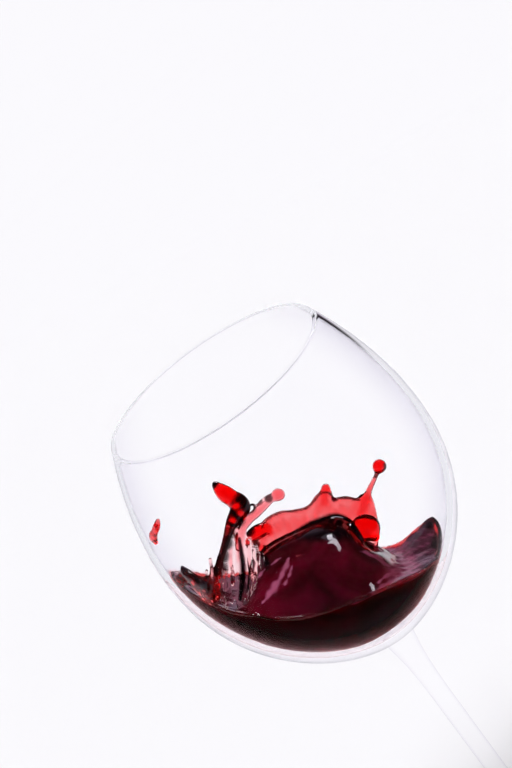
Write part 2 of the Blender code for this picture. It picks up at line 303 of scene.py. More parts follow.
def surface(right, toward):
    """Height of the pool and its dome, blended into each other."""
    level = pool_height(right, toward)
    swell = dome_height(right, toward)
    blend = 3.0
    base = smooth_level(right) - LEVEL_SLOPE * toward
    dent = DENT_DEPTH * np.exp(-((right - DENT_RIGHT) / 3.6) ** 2 - ((toward - DENT_TOWARD) / 9.0) ** 2)
    top = base + swell - dent - 1.5 + waves(right, toward, 21, 14.0, 6) * 0.14
    h = np.clip(0.5 + 0.5 * (top - level) / blend, 0, 1)
    return level * (1 - h) + top * h + blend * h * (1 - h)


class Field:
    """A signed distance over a grid of picture-axis points."""

    def __init__(self, low, high, step):
        self.low, self.step = np.array(low, float), step
        self.axes = [np.arange(a, b, step, dtype=np.float32) for a, b in zip(low, high)]
        self.d = np.full([len(a) for a in self.axes], 9.0, np.float32)

    def part(self, low, high):
        """Slices and coordinates of the grid inside a box."""
        spans = []
        for k in range(3):
            a = int(np.clip((low[k] - self.low[k]) / self.step, 0, self.d.shape[k]))
            b = int(np.clip((high[k] - self.low[k]) / self.step + 1, 0, self.d.shape[k]))
            spans.append(slice(a, b))
        r, u, t = (self.axes[k][spans[k]] for k in range(3))
        return tuple(spans), r[:, None, None], u[None, :, None], t[None, None, :]

    def blend(self, spans, d, k):
        """Melts a new distance into the field over k millimetres."""
        old = self.d[spans]
        h = np.clip(0.5 + 0.5 * (old - d) / k, 0, 1)
        self.d[spans] = old * (1 - h) + d * h - k * h * (1 - h)

    def cut(self, d, k=0.0):
        """Keeps only what is inside the other distance too."""
        if k:
            h = np.clip(0.5 - 0.5 * (self.d - d) / k, 0, 1)
            self.d = self.d * (1 - h) + d * h + k * h * (1 - h)
        else:
            self.d = np.maximum(self.d, d)


def curve_through(points, per_span=7):
    """A smooth line through rows of numbers."""
    p = np.array(points, float)
    p = np.concatenate([[2 * p[0] - p[1]], p, [2 * p[-1] - p[-2]]])
    rows = []
    for i in range(1, len(p) - 2):
        for s in np.arange(per_span) / per_span:
            a, b, c, d = p[i - 1], p[i], p[i + 1], p[i + 2]
            rows.append(0.5 * (2 * b + (c - a) * s + (2 * a - 5 * b + 4 * c - d) * s * s
                               + (3 * b - a - 3 * c + d) * s ** 3))
    rows.append(p[-2])
    return np.array(rows)


def strand(field, points, k=1.5, flat=None):
    """A rounded thread of wine through (right, up, toward, radius) rows, melted in over k."""
    line = curve_through(points)
    reach = line[:, 3].max() + k + 1.0
    low, high = line[:, :3].min(0) - reach, line[:, :3].max(0) + reach
    spans, r, u, t = field.part(low, high)
    best = None
    for a, b in zip(line[:-1], line[1:]):
        v = b[:3] - a[:3]
        length = max(float(v @ v), 1e-9)
        h = np.clip(((r - a[0]) * v[0] + (u - a[1]) * v[1] + (t - a[2]) * v[2]) / length, 0, 1)
        d = np.sqrt((r - a[0] - h * v[0]) ** 2 + (u - a[1] - h * v[1]) ** 2 + (t - a[2] - h * v[2]) ** 2)
        d = d - (a[3] + (b[3] - a[3]) * h)
        best = d if best is None else np.minimum(best, d)
    field.blend(spans, best, k)


def blob(field, centre, radii, k=1.5):
    """An ellipsoid of wine."""
    radii = np.array(radii, float) * np.ones(3)
    reach = radii + k + 1
    spans, r, u, t = field.part(np.array(centre) - reach, np.array(centre) + reach)
    q = np.sqrt(((r - centre[0]) / radii[0]) ** 2 + ((u - centre[1]) / radii[1]) ** 2
                + ((t - centre[2]) / radii[2]) ** 2)
    field.blend(spans, (q - 1) * radii.min(), k)


CREST_EDGE = (
    (-17.5, -5.5, -4), (-16.6, -2.5, -5), (-14.6, 0.2, -5.5), (-10.8, 2.2, -6), (-7.5, 2.6, -6), (-4.6, 3.0, -6),
    (-2.4, 3.6, -6), (-0.6, 4.9, -5.5), (1.2, 7.2, -5), (2.4, 8.4, -5), (4.1, 8.9, -5), (5.5, 8.2, -5),
    (6.3, 6.9, -5), (7.4, 6.4, -5), (8.8, 7.0, -5), (11.0, 7.0, -5), (13.0, 6.6, -5), (15.0, 6.3, -5),
    (17.8, 7.2, -5), (19.2, 5.0, -4.5), (19.8, 2.0, -4), (20.2, -1.0, -3))


def crest(field):
    """The thin sheet that stands on the dome, with a thicker rolled edge."""
    edge = curve_through(CREST_EDGE, 5)
    order = np.argsort(edge[:, 0])
    spans, r, u, t = field.part((-22, -14, -12), (24, 12, 6))
    top = np.interp(r, edge[order, 0], edge[order, 1])
    middle = np.interp(r, edge[order, 0], edge[order, 2])
    slope = np.abs(np.gradient(np.interp(field.axes[0], edge[order, 0], edge[order, 1]), field.step))
    steep = np.sqrt(1 + np.interp(r, field.axes[0], slope) ** 2)
    drop = top - u
    middle = middle + 0.12 * drop + 0.5 * np.sin(r * 0.55 + 0.8) + 0.25 * np.sin(r * 1.3 + u * 0.5)
    dimples = np.sin(r * 1.7 + u * 0.4) * np.sin(u * 0.9 + 1)
    thick = 0.46 + 0.46 * np.sin(np.clip(drop / 9, 0, 1) * np.pi) + 0.08 * dimples
    side = np.abs(t - middle) - thick
    over = (u - top) / steep
    ends = np.maximum(-17.8 - r, r - 21.0)
    over = np.maximum(over, ends)
    round_by = 0.6
    d = (np.sqrt(np.maximum(side + round_by, 0) ** 2 + np.maximum(over + round_by, 0) ** 2) - round_by
         + np.minimum(np.maximum(side, over) + round_by, 0))
    field.blend(spans, np.broadcast_to(d, np.broadcast(r, u, t).shape), 1.2)
    rolled = [(a[0], a[1] - 0.3, a[2] + 0.5 * math.sin(a[0] * 0.55 + 0.8), 0.82 + 0.14 * math.sin(a[0] * 1.9))
              for a in edge[::4]]
    strand(field, rolled, 0.7)


VEIL_AT = (-35, -32.6, -30.9, -29.6, -27.9, -26.4, -23.4, -20.5, -18, -16.2, -13)
VEIL_TOP = (-24, -17, -13.5, -11, -6.5, -1.5, -0.5, -5.5, -8.5, -11, -16)

# Threads in the veil: right, upper end, lower end and radius
VEIL_THREADS = (
    (-33.6, -16.0, -26.0, 0.4), (-32.4, -12.6, -27.0, 0.45), (-30.6, -15.5, -27.5, 0.42),
    (-29.4, -14.4, -26.0, 0.5), (-27.8, -16.0, -25.5, 0.45),
    (-26.2, -9.0, -20.0, 0.5), (-24.6, -3.0, -13.0, 0.5),
    (-20.6, -7.0, -24.0, 0.5), (-19.0, -9.6, -20.5, 0.5), (-17.4, -11.0, -18.5, 0.45))


def veil_depth(right, up):
    """How far toward the viewer the veil hangs."""
    return 24.5 - 0.55 * (right + 33) - 0.40 * np.clip(up + 27, 0, 30)


def curtain(field):
    """The thin ribbed veil that hangs in front on the left, and its fringe of threads."""
    spans, r, u, t = field.part((-38, -34, -2), (-10, 4, 36))
    fan = r + 0.12 * (u + 20) + 0.25 * np.sin(u * 0.45)
    top = np.interp(r, VEIL_AT, VEIL_TOP) + 0.7 * np.sin(r * 3.1 + 0.6)
    ribbed = ease((-13 - u) / 6) * ease((-23.5 - r) / 4)
    folds = 0.40 * ribbed * np.sin(2 * np.pi * fan / 1.75) + 0.5 * np.sin(2 * np.pi * fan / 5.2 + 0.16 * u)
    thick = 0.24 + 0.22 * ribbed * np.sin(2 * np.pi * fan / 2.3 + 0.2 * u) ** 2 + 0.20 * ease((-14 - u) / 8)
    thick = thick + 0.45 * np.exp(-((fan + 21.6) / 1.2) ** 2) * ease((-6 - u) / 5)
    side = (np.abs(t - veil_depth(r, u) - folds) - thick) * 0.55
    foot = -27.0 + 1.4 * np.sin(r * 1.7) + 0.8 * np.sin(r * 4.1 + 1)
    over = np.maximum(np.maximum((u - top) * 0.5, (foot - u) * 0.7), np.maximum(-34.5 - r, r + 15.5))
    field.blend(spans, np.broadcast_to(np.maximum(side, over), np.broadcast(r, u, t).shape), 0.5)
    rng = np.random.default_rng(5)
    for x, head, end, radius in VEIL_THREADS:
        rows = []
        for up in np.linspace(head, end, 6):
            sway = rng.uniform(-0.3, 0.3)
            thread = radius * rng.uniform(0.7, 1.25)
            rows.append((x + 0.10 * (head - up) + sway, up, veil_depth(x, up) + 0.4, thread))
        strand(field, rows, 0.5)
    strand(field, ((-23.6, -9, 11, 1.0), (-22.6, -3.6, 9.5, 1.2), (-20.6, -0.2, 8, 1.45), (-18.0, 2.2, 7, 1.5),
                   (-15.6, 4.4, 6, 1.3), (-13.4, 6.4, 5.4, 1.1), (-12.0, 7.2, 5, 1.3)), 1.0)
    blob(field, (-11.2, 7.9, 5), (2.2, 2.0, 2.0), 0.8)
    strand(field, ((-18.6, 3.4, 7.4, 0.5), (-16.6, 5.6, 6.8, 0.6), (-14.6, 7.2, 6, 0.6), (-13.2, 7.7, 5.4, 0.6)), 0.4)
    strand(field, ((-20.8, 0.4, 8, 0.7), (-21.0, 2.6, 7.6, 0.45), (-20.2, 4.4, 7.4, 0.42), (-18.9, 4.6, 7.2, 0.42),
                   (-18.3, 3.0, 7, 0.6)), 0.4)


def splash(field):
    """The fingers, lobes, threads and drops."""
    strand(field, ((-30.6, -24, 20, 1.7), (-30.4, -18, 17, 1.3), (-29.5, -13.5, 15, 1.15), (-28.4, -9.5, 13.5, 1.15),
                   (-27.4, -6, 12.5, 1.3), (-26.6, -3.2, 11.5, 1.6), (-25.6, -0.7, 10.5, 2.1), (-24.2, 1.5, 9.5, 2.7),
                   (-23.1, 3.6, 9, 3.15), (-23.8, 5.2, 9, 3.1), (-25.8, 6.6, 9, 2.7), (-27.6, 7.8, 9, 2.75),
                   (-29.2, 9.1, 9, 2.3), (-30.5, 10.3, 9, 1.6), (-31.2, 11.1, 9, 1.1)), 1.0)
    strand(field, ((-21.4, -7.4, -3.2, 1.0), (-20.0, -5.4, -3.4, 1.9), (-18.0, -4.0, -3.6, 2.3), (-15.6, -3.0, -4, 1.9),
                   (-14.0, -4.2, -4.4, 0.9)), 1.2)
    strand(field, ((-20.8, -6.6, -3.2, 0.9), (-18.6, -8.4, -3.6, 1.0), (-16.2, -9.6, -4, 1.2)), 1.0)
    blob(field, (16.8, -2.6, 0.5), (4.8, 4.3, 2.8), 1.6)
    strand(field, ((17.6, -3.4, 0.5, 2.0), (19.0, -4.8, 0.5, 1.7), (20.0, -5.8, 0.5, 1.2)), 1.4)
    strand(field, ((3.6, 5.5, -5, 0.9), (3.8, 7.8, -5, 1.1), (4.1, 9.6, -5, 1.45), (4.1, 10.2, -5, 1.4)), 1.6)
    strand(field, ((15.6, 2.2, -4.8, 1.0), (16.6, 5.5, -5, 1.25), (17.8, 8.8, -5, 1.0), (19.2, 11.8, -5, 0.8),
                   (20.4, 14.4, -5, 0.7), (21.0, 16.0, -5, 0.8)), 1.8)
    blob(field, (21.4, 17.2, -5), 2.3, 0.9)
    strand(field, ((13.5, 4.5, -4.5, 0.8), (14.8, 6.9, -4.5, 0.5), (15.6, 8.0, -4.6, 0.4)), 0.7)
    strand(field, ((-33, -24, 24, 2.6), (-35.4, -20.5, 26, 2.1), (-38.2, -17.8, 25.5, 1.7), (-40.0, -16.4, 22, 1.3),
                   (-41.2, -17.0, 14, 1.4), (-41.6, -19, 4, 2.0)), 1.6)
    strand(field, ((-39.6, -17.0, 24, 1.1), (-40.6, -15.6, 22, 0.8), (-41.2, -14.8, 20, 0.5)), 0.8)
    blob(field, (-34.8, -21.6, 25), (4.2, 3.8, 2.6), 1.2)
    strand(field, ((-34, -21, 28, 1.6), (-33.2, -18.6, 29, 1.2), (-32.4, -17.8, 29.4, 0.8)), 1.0)
    strand(field, ((22, -13.5, -32, 1.0), (28.7, -9.6, -30.0, 1.3), (31.9, -7.4, -27.2, 1.3), (35.1, -4.8, -23.4, 1.2),
                   (38.2, -1.9, -17.8, 1.25), (40.0, -0.7, -13.0, 1.2), (41.3, -2.6, -7.0, 1.1),
                   (41.6, -7.0, 0.5, 1.2), (40.9, -11, 6, 1.4)), 1.8)


def surface_net(field):
    """Points and quads of the field's zero surface, in picture-axis millimetres."""
    d = field.d
    inside = d < 0
    shape = np.array(d.shape) - 1
    size = int(shape.prod())
    stride = np.array([shape[1] * shape[2], shape[2], 1])
    total = np.zeros((size, 3))
    count = np.zeros(size)
    walls = []
    for axis in range(3):
        a = [slice(None)] * 3
        b = [slice(None)] * 3
        a[axis], b[axis] = slice(0, -1), slice(1, None)
        base = np.argwhere(inside[tuple(a)] != inside[tuple(b)])
        others = [k for k in range(3) if k != axis]
        base = base[(base[:, others] > 0).all(1) & (base[:, others] < shape[others]).all(1)]
        d0 = d[tuple(base.T)].astype(float)
        tip = base.copy()
        tip[:, axis] += 1
        d1 = d[tuple(tip.T)].astype(float)
        cross = base.astype(float)
        cross[:, axis] += d0 / (d0 - d1)
        around = []
        for o1, o2 in ((0, 0), (-1, 0), (-1, -1), (0, -1)):
            cell = base.copy()
            cell[:, others[0]] += o1
            cell[:, others[1]] += o2
            flat = cell @ stride
            around.append(flat)
            count += np.bincount(flat, minlength=size)
            for k in range(3):
                total[:, k] += np.bincount(flat, weights=cross[:, k], minlength=size)
        quad = np.stack(around, -1)
        flip = (d0 < 0) != (axis == 1)
        quad[flip] = quad[flip][:, ::-1]
        walls.append(quad)
    used = np.flatnonzero(count)
    index = np.full(size, -1, np.int64)
    index[used] = np.arange(len(used))
    points = field.low + total[used] / count[used][:, None] * field.step
    quads = index[np.concatenate(walls)][:, ::-1]
    return points, quads


def relaxed(points, quads, rounds, keep=0.5):
    """The points drawn toward the middle of their neighbours, then back, so that nothing shrinks."""
    n = len(points)
    ends = np.concatenate([quads[:, [0, 1]], quads[:, [1, 2]], quads[:, [2, 3]], quads[:, [3, 0]]])
    count = np.bincount(ends[:, 0], minlength=n) + np.bincount(ends[:, 1], minlength=n)
    for step in range(rounds):
        for factor in (keep, -keep * 1.04):
            total = np.zeros_like(points)
            for k in range(3):
                total[:, k] = (np.bincount(ends[:, 0], weights=points[ends[:, 1], k], minlength=n)
                               + np.bincount(ends[:, 1], weights=points[ends[:, 0], k], minlength=n))
            points = points + factor * (total / count[:, None] - points)
    return points


def field_points(field):
    r, u, t = field.axes
    out = np.empty(field.d.shape + (3,), np.float32)
    out[..., 0] = r[:, None, None]
    out[..., 1] = u[None, :, None]
    out[..., 2] = t[None, None, :]
    return out


def biggest(points, quads):
    """Only the largest connected part."""
    label = np.arange(len(points))
    ends = np.concatenate([quads[:, [0, 1]], quads[:, [1, 2]], quads[:, [2, 3]], quads[:, [3, 0]]])
    while True:
        low = np.minimum(label[ends[:, 0]], label[ends[:, 1]])
        new = label.copy()
        np.minimum.at(new, ends[:, 0], low)
        np.minimum.at(new, ends[:, 1], low)
        new = new[new]
        new = new[new]
        if (new == label).all():
            break
        label = new
    names, counts = np.unique(label[quads[:, 0]], return_counts=True)
    keep = names[counts.argmax()]
    quads = quads[label[quads[:, 0]] == keep]
    used = np.unique(quads)
    index = np.full(len(points), -1)
    index[used] = np.arange(len(used))
    return points[used], index[quads]


# How the looks of the wine are split up: the pool reaches into the wall, the splash stays clear of it,
# a clear skin lies over the core, and the core keeps off the wall by more the deeper it lies
WALL_OVERLAP = 0.008
SPLASH_CLEAR = 0.45
SKIN_DEPTH = 5.0
SKIN_OVER_CORE = 0.3
CORE_OFF_WALL, CORE_OFF_WALL_DEEP = 1.2, 4.0


def make_splash(step):
    field = Field((-46, -40, -46), (46, 22, 44), step)
    r, u, t = (field.axes[0][:, None, None], field.axes[1][None, :, None], field.axes[2][None, None, :])
    top = surface(field.axes[0][:, None], field.axes[2][None, :])
    gr, gt = np.gradient(top, field.step)
    steep = np.sqrt(1 + gr ** 2 + gt ** 2).astype(np.float32)
    wall = room(field_points(field)).astype(np.float32)
    edge = MENISCUS * np.exp(np.minimum(wall, 0) / MENISCUS_REACH)
    field.d = ((u - top[:, None, :].astype(np.float32) - edge) / steep[:, None, :]).astype(np.float32)
    crest(field)
    splash(field)
    depth = SKIN_DEPTH * np.clip(-wall / 6, 0.2, 1)
    under = (top[:, None, :].astype(np.float32) - depth - u) / steep[:, None, :]
    field.d = np.maximum(field.d, under.astype(np.float32))
    field.cut(wall + SPLASH_CLEAR, 0.6)
    return surface_net(field)


def make_curtain(step):
    field = Field((-39, -34, -2), (-7, 12, 36), step)
    curtain(field)
    field.cut(room(field_points(field)).astype(np.float32) + SPLASH_CLEAR, 0.6)
    return surface_net(field)


def make_pool(step):
    """The deep wine under the dome, out to the glass and just into it."""
    field = Field((-47, -48, -46), (47, 8, 46), step)
    right, toward = field.axes[0][:, None], field.axes[2][None, :]
    u = field.axes[1][None, :, None]
    wall = room(field_points(field)).astype(np.float32)
    edge = MENISCUS * np.exp(np.minimum(wall, 0) / MENISCUS_REACH)
    level = np.minimum(smooth_level(right) - LEVEL_SLOPE * toward, surface(right, toward) - 0.3)
    level = np.where(right > CLIMB_FROM - 4, surface(right, toward) - 0.6, level)
    field.d = (u - level[:, None, :] - edge).astype(np.float32)
    field.cut(wall - WALL_OVERLAP)
    return surface_net(field)


def make_dome(step):
    """The inside of the wine, where it is too deep to see through."""
    field = Field((-47, -48, -46), (47, 6, 46), step)
    right, toward = field.axes[0][:, None], field.axes[2][None, :]
    top = surface(right, toward)
    gr, gt = np.gradient(top, field.step)
    steep = np.sqrt(1 + gr ** 2 + gt ** 2)
    u = field.axes[1][None, :, None]
    field.d = ((u - top[:, None, :] + SKIN_OVER_CORE) / steep[:, None, :]).astype(np.float32)
    shell = CORE_OFF_WALL + (CORE_OFF_WALL_DEEP - CORE_OFF_WALL) * ease((top[:, None, :] - u) / 8)
    field.cut((room(field_points(field)) + shell).astype(np.float32))
    return surface_net(field)


def make_drop(step):
    field = Field((-54, -12, 14), (-44, 4, 36), step)
    strand(field, ((-48.2, -0.4, 30, 0.7), (-48.6, -2.2, 30, 1.1), (-49.4, -4.2, 27, 1.1), (-49.9, -5.6, 24, 1.3),
                   (-49.2, -7.0, 24, 0.8)), 0.6)
    strand(field, ((-49.0, -3.2, 28, 0.6), (-50.2, -4.6, 25.5, 1.0), (-50.2, -6.0, 22.5, 0.9)), 0.5)
    field.cut(room(field_points(field)).astype(np.float32) - WALL_OVERLAP)
    return surface_net(field)


# Painted shade: places where the wine's colour is painted dark, or left clear in the midst of such a place:
# right, up, toward, radius and strength
PAINTED_SHADES = (
    (-22.2, 4.8, 9, 3.9, 1.0), (-25.0, 0.6, 10, 3.6, 1.0), (-28.4, -7.5, 13, 3.0, 0.9),
    (-29.4, -11.5, 14, 3.0, 0.85), (-30.0, -15.5, 16, 3.0, 0.8), (-27.0, -4.4, 12, 2.4, 0.8),
    (-31.8, 11.4, 9, 1.9, 1.0), (-20.8, -3.6, -3, 2.4, 1.0), (-18.0, -1.4, -3.4, 1.5, 0.9),
    (-20.2, 3.6, 7.4, 2.0, 1.0), (-18.6, -8.2, -3.6, 1.6, 0.9), (-38.2, -17.6, 26, 4.4, 0.95),
    (-34.0, -19.6, 27, 4.0, 0.9), (-14.2, 6.6, 6, 1.4, 0.9), (-17.4, 5.6, 7, 1.3, 0.8),
    (6.8, 6.6, -5, 1.0, 1.0), (23.6, 17.2, -5, 1.6, 1.0), (19.9, 14.3, -5, 1.0, 0.8),
    (-24.4, 4.2, 9, 1.3, -1.0), (-23.2, 2.0, 9.4, 1.2, -0.9), (-25.6, -0.4, 10, 1.1, -0.9),
    (-37.0, -19.4, 25, 1.0, -0.8), (-34.4, -22.6, 25, 1.2, -0.7), (-33.0, -20.6, 25, 0.8, -0.8),
    (39.0, -1.6, -15, 3.4, 0.95), (41.0, -7.0, -1, 3.6, 0.9))

# Painted reflections: lines along the deep wine painted mauve as glints of mirrored light: right, up and half the width
PAINTED_GLINTS = (
    ((-7.6, -12.4, 0.4), (-9.0, -15.6, 0.9), (-10.2, -18.2, 0.6), (-12.2, -21.2, 1.3), (-14.2, -24.0, 0.7),
     (-15.6, -25.8, 0.3)),
    ((-6.4, -14.4, 0.2), (-7.6, -17.6, 0.4), (-8.8, -20.2, 0.3)),
    ((-10.4, -12.4, 0.3), (-12.8, -14.0, 0.4), (-16.0, -16.6, 0.45), (-18.4, -20.0, 0.3)),
    ((15.0, -7.0, 0.3), (18.0, -8.0, 0.7), (22.4, -10.8, 0.7), (25.0, -13.6, 0.4)),
    ((14.6, -10.2, 0.3), (17.6, -10.8, 0.6), (21.0, -12.6, 0.8), (24.0, -15.0, 0.5)),
    ((19.2, -7.0, 0.4), (22.6, -8.6, 0.7), (26.6, -11.4, 0.6)),
    ((11.8, -26.1, 0.3), (16.0, -24.4, 0.5), (19.5, -22.4, 0.9), (23.0, -20.2, 1.0), (26.0, -18.4, 0.7)),
    ((20.0, -19.6, 0.3), (23.0, -17.6, 0.6), (26.0, -16.0, 0.5)))

# Painted shade: the black zone under the dome's top edge, and a dark patch on its left: right, up and half the width
DOME_PAINTED_SHADE = (
    ((-18.0, -11.8, 0.6), (-14.4, -9.6, 0.9), (-11.0, -7.2, 1.2), (-7.4, -5.2, 1.6), (-4.0, -4.2, 2.6),
     (0.5, -3.6, 3.8), (5.3, -3.2, 4.2), (9.6, -3.2, 3.8), (12.4, -4.6, 2.0)),
    ((-16.0, -11.6, 0.5), (-12.0, -8.9, 0.8), (-7.5, -5.9, 1.1), (-1.1, -2.0, 1.5), (5.4, 0.4, 1.7),
     (8.6, 0.4, 1.7), (10.8, -0.8, 1.4), (13.8, -4.0, 1.1), (16.4, -7.8, 0.8), (19.0, -9.8, 0.5)),
    ((-15.4, -12.0, 0.7), (-14.4, -14.2, 1.2), (-14.8, -16.0, 0.5)))

# Painted shade: the dark column in the veil, the black edge of the crest and a dark line along the dome's top edge
PAINTED_SHADE_BANDS = (
    ((-23.6, -6.0, 0.5), (-22.8, -11.0, 0.9), (-22.2, -16.0, 1.1), (-22.4, -21.0, 0.9), (-23.0, -25.0, 0.6)),
    ((-19.4, -13.0, 0.3), (-20.2, -17.0, 0.5), (-20.6, -22.0, 0.4)),
    tuple((right, up - 0.1, 0.3) for right, up, _ in CREST_EDGE[1:-4])) + DOME_PAINTED_SHADE[1:2]


def beside(points, lines, waver):
    """1 along lines of (right, up, half width) rows, falling to 0 beside them, with a wavering edge."""
    total = np.zeros(len(points))
    flow = 0.35 * np.sin(points[:, 0] * 1.9 + points[:, 1] * 0.8) + 0.25 * np.sin(points[:, 1] * 2.3 + 1.0)
    for line in lines:
        rows = curve_through(line, 6)
        for a, b in zip(rows[:-1], rows[1:]):
            way = b[:2] - a[:2]
            share = np.clip(((points[:, :2] - a[:2]) @ way) / (way @ way), 0, 1)
            off = points[:, :2] - a[:2] - share[:, None] * way
            width = a[2] + (b[2] - a[2]) * share
            near = ease(1.3 - (np.linalg.norm(off, axis=1) + waver * flow) / width)
            total = np.maximum(total, near)
    return total


def painted_shade_of(points):
    """Painted shade: 0 where the wine is left clear to 1 where its colour is painted dark, at picture-axis points."""
    dark = beside(points, PAINTED_SHADE_BANDS, 0.1)
    light = np.zeros(len(points))
    for right, up, toward, radius, strength in PAINTED_SHADES:
        away = points - (right, up, toward)
        away[:, 2] *= 0.6 if strength > 0 else 0.25
        near = ease((1.25 - np.linalg.norm(away, axis=1) / radius) / 0.5)
        if strength > 0:
            dark = np.maximum(dark, near * strength)
        else:
            light = np.maximum(light, near * -strength)
    return dark * (1 - light)


def painted_light_of(points):
    """Painted light on the deep wine: 0 in the dome, -1 in its painted black shade, 0.5 along its painted glints, on to
    1 for the painted reflection over the wave that climbs the wall.
    """
    right, up, toward = points.T
    ripple = 0.12 * np.sin(right * 1.1 - up * 2.6) + 0.08 * np.sin(up * 4.2 + right)
    # the painted purple-grey reflection over the wave that climbs the wall
    climb = ease((right - 21.5) / 5) * 0.5 + ease((right + 0.4 * up - 25.5) / 4) * 0.5
    climb = climb + ripple * ease((right - 22) / 4)
    light = np.clip(np.maximum(beside(points, PAINTED_GLINTS, 0.5) * 0.5, climb), 0, 1)
    # only the open surface of the near side has these painted tones
    shallow = ease(1.6 - (surface(right, toward) - up) / 1.5)
    near = ease((toward + 12) / 6)
    return light * shallow * np.maximum(near, climb > 0.3) - beside(points, DOME_PAINTED_SHADE, 0.6) * near


def wine_piece(name, made, node_name, tint=painted_shade_of):
    points, quads = biggest(*made)
    points = relaxed(points, quads, 3)
    piece = mesh_object(name, to_glass(points), quads)
    # the 'shade' attribute holds painted shade, or on the dome painted glints, reflections and shade
    shade = piece.data.attributes.new("shade", "FLOAT", "POINT")
    shade.data.foreach_set("value", tint(points).astype(np.float32))
    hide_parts(node_name)
    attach(piece, "root")
    print(name, len(quads) * 2, "triangles")
    return piece


# Materials
def principled(name):
    made = bpy.data.materials.new(name)
    made.use_nodes = True
    nodes, links = made.node_tree.nodes, made.node_tree.links
    shader = next(n for n in nodes if n.type == "BSDF_PRINCIPLED")
    out = next(n for n in nodes if n.type == "OUTPUT_MATERIAL")
    return made, nodes, links, shader, out


# Painted light: a painted shade colour for the wine, and the painted mauve glints and purple-grey reflection of the
# deep wine
PAINTED_SHADE_WINE = (0.012, 0.0, 0.003, 1)
PAINTED_MAUVE_GLINT = (0.30, 0.12, 0.24, 1)
PAINTED_PURPLE_GREY_REFLECTION = (0.06, 0.03, 0.06, 1)


def outline(nodes, links, span, face, edge):
    """A colour that runs from `face` to `edge` where a clear form turns away and bends light aside."""
    facing = nodes.new("ShaderNodeLayerWeight")
    facing.inputs["Blend"].default_value = 0.5
    ramp = nodes.new("ShaderNodeValToRGB")
    ramp.color_ramp.interpolation = "EASE"
    ramp.color_ramp.elements[0].position = span[0]
    ramp.color_ramp.elements[0].color = face
    ramp.color_ramp.elements[1].position = span[1]
    ramp.color_ramp.elements[1].color = edge
    links.new(facing.outputs["Facing"], ramp.inputs["Fac"])
    return ramp.outputs["Color"]


def glass_material():
    made, nodes, links, shader, _ = principled("clear_glass")
    # painted shade: the glass's outline is painted grey and pale lavender where it turns away
    colour = outline(nodes, links, (0.30, 1.0), (0.995, 0.994, 1.0, 1), (0.28, 0.26, 0.33, 1))
    middle = colour.node.color_ramp.elements.new(0.78)
    middle.color = (0.92, 0.91, 0.95, 1)
    links.new(colour, shader.inputs["Base Color"])
    shader.inputs["Roughness"].default_value = 0.0
    shader.inputs["IOR"].default_value = 1.037
    shader.inputs["Transmission Weight"].default_value = 1.0
    place = nodes.new("ShaderNodeTexCoord")
    noise = nodes.new("ShaderNodeTexNoise")
    noise.inputs["Scale"].default_value = 45.0
    noise.inputs["Detail"].default_value = 1.0
    bump = nodes.new("ShaderNodeBump")
    bump.inputs["Strength"].default_value = 0.05
    bump.inputs["Distance"].default_value = 0.0006
    links.new(place.outputs["Object"], noise.inputs["Vector"])
    links.new(noise.outputs["Fac"], bump.inputs["Height"])
    links.new(bump.outputs["Normal"], shader.inputs["Normal"])
    return made


def wine_material(name, ior, gloss, kept, density, edge=None):
    """Wine that drinks up green and blue first; `gloss` tints its mirror, `edge` is where its outline is painted dark,
    and then its painted shade attribute darkens it too.
    """
    made, nodes, links, shader, out = principled(name)
    shader.inputs["Base Color"].default_value = (1, 1, 1, 1)
    shader.inputs["Roughness"].default_value = 0.0
    shader.inputs["IOR"].default_value = ior
    shader.inputs["Transmission Weight"].default_value = 1.0
    shader.inputs["Specular Tint"].default_value = (*gloss, 1)
    absorb = nodes.new("ShaderNodeVolumeAbsorption")
    absorb.inputs["Color"].default_value = (*kept, 1)
    absorb.inputs["Density"].default_value = density
    links.new(absorb.outputs["Volume"], out.inputs["Volume"])
    if edge:
        colour = outline(nodes, links, edge, (1, 1, 1, 1), PAINTED_SHADE_WINE)
        # painted shade: the colour turns to painted dark wine where the 'shade' attribute says
        shade = nodes.new("ShaderNodeAttribute")
        shade.attribute_name = "shade"
        mix = nodes.new("ShaderNodeMix")
        mix.data_type = "RGBA"
        links.new(shade.outputs["Fac"], mix.inputs[0])
        links.new(colour, mix.inputs[6])
        mix.inputs[7].default_value = PAINTED_SHADE_WINE
        links.new(mix.outputs[2], shader.inputs["Base Color"])
    return made


